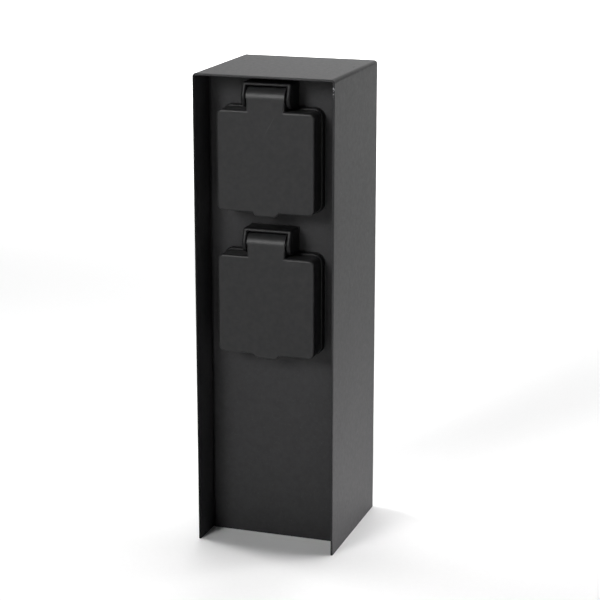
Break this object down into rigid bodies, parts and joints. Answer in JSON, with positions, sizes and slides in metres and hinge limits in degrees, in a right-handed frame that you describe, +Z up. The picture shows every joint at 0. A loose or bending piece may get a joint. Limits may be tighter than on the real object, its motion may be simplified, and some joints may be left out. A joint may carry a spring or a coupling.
{
  "type": "garden socket post",
  "caption": "Upright garden power post: folded sheet shroud, panel set back in its front with hinged-lid earthed sockets one above the other, and a screwed rear cover.",
  "frame": {"origin": "centre of the post's footprint on the ground", "axes": "+Z up, -Y out of the open front with the sockets, +X to the right seen from behind the front"},
  "size_m": [0.075, 0.075, 0.25],
  "materials": {
    "powder_coat": "fine-textured matt powder coat, anthracite",
    "socket_plastic": "smooth satin moulding, black",
    "lid_plastic": "fine satin moulding, anthracite",
    "seal_rubber": "matt",
    "zinc_steel": "zinc plated",
    "brass": "nickel-free, dull",
    "terminal_plastic": "off-white moulding",
    "wire_brown": "smooth insulation",
    "wire_blue": "smooth insulation",
    "wire_green": "smooth insulation, green and yellow"
  },
  "bodies": {
    "post": {"shroud": "powder_coat", "front_panel": "powder_coat", "rear_cover": "powder_coat", "rear_cover_seals": "seal_rubber", "rear_cover_screws": "zinc_steel", "rivet_nuts": "zinc_steel", "base_plate": "powder_coat", "cable_grommet": "seal_rubber", "terminal_block": "terminal_plastic", "terminal_block_screws": "zinc_steel", "clamp_screws": "zinc_steel", "earth_stud": "zinc_steel", "earth_ring_lug": "brass", "earth_nut": "zinc_steel", "live_wire_lower": "wire_brown", "live_wire_upper": "wire_brown", "neutral_wire_lower": "wire_blue", "neutral_wire_upper": "wire_blue", "earth_wire_lower": "wire_green", "earth_wire_upper": "wire_green", "earth_bond_wire": "wire_green", "lower_frame": "socket_plastic", "lower_gasket": "seal_rubber", "lower_cup": "socket_plastic", "lower_earth_strap": "brass", "lower_live_contact": "brass", "lower_neutral_contact": "brass", "lower_contact_block": "terminal_plastic", "lower_centre_screw": "zinc_steel", "lower_terminal_screws": "zinc_steel", "lower_fixing_screws": "zinc_steel", "lower_fixing_nuts": "zinc_steel", "lower_hinge_pin": "zinc_steel", "lower_lid_spring": "zinc_steel", "upper_frame": "socket_plastic", "upper_gasket": "seal_rubber", "upper_cup": "socket_plastic", "upper_earth_strap": "brass", "upper_live_contact": "brass", "upper_neutral_contact": "brass", "upper_contact_block": "terminal_plastic", "upper_centre_screw": "zinc_steel", "upper_terminal_screws": "zinc_steel", "upper_fixing_screws": "zinc_steel", "upper_fixing_nuts": "zinc_steel", "upper_hinge_pin": "zinc_steel", "upper_lid_spring": "zinc_steel"},
    "lower_lid": {"lower_lid": "lid_plastic", "lower_lid_seal": "seal_rubber"},
    "upper_lid": {"upper_lid": "lid_plastic", "upper_lid_seal": "seal_rubber"}
  },
  "joints": [
    {"name": "lower_lid_hinge", "type": "hinge", "parent": "post", "child": "lower_lid", "pos_m": [0, -0.0288, 0.163], "axis": [-1, 0, 0], "range_deg": [0, 95], "stiffness_Nm_per_rad": 0.012, "springref_deg": -20.05, "deforming": ["lower_lid_spring"]},
    {"name": "upper_lid_hinge", "type": "hinge", "parent": "post", "child": "upper_lid", "pos_m": [0, -0.0288, 0.238], "axis": [-1, 0, 0], "range_deg": [0, 95], "stiffness_Nm_per_rad": 0.012, "springref_deg": -20.05, "deforming": ["upper_lid_spring"]}
  ]
}
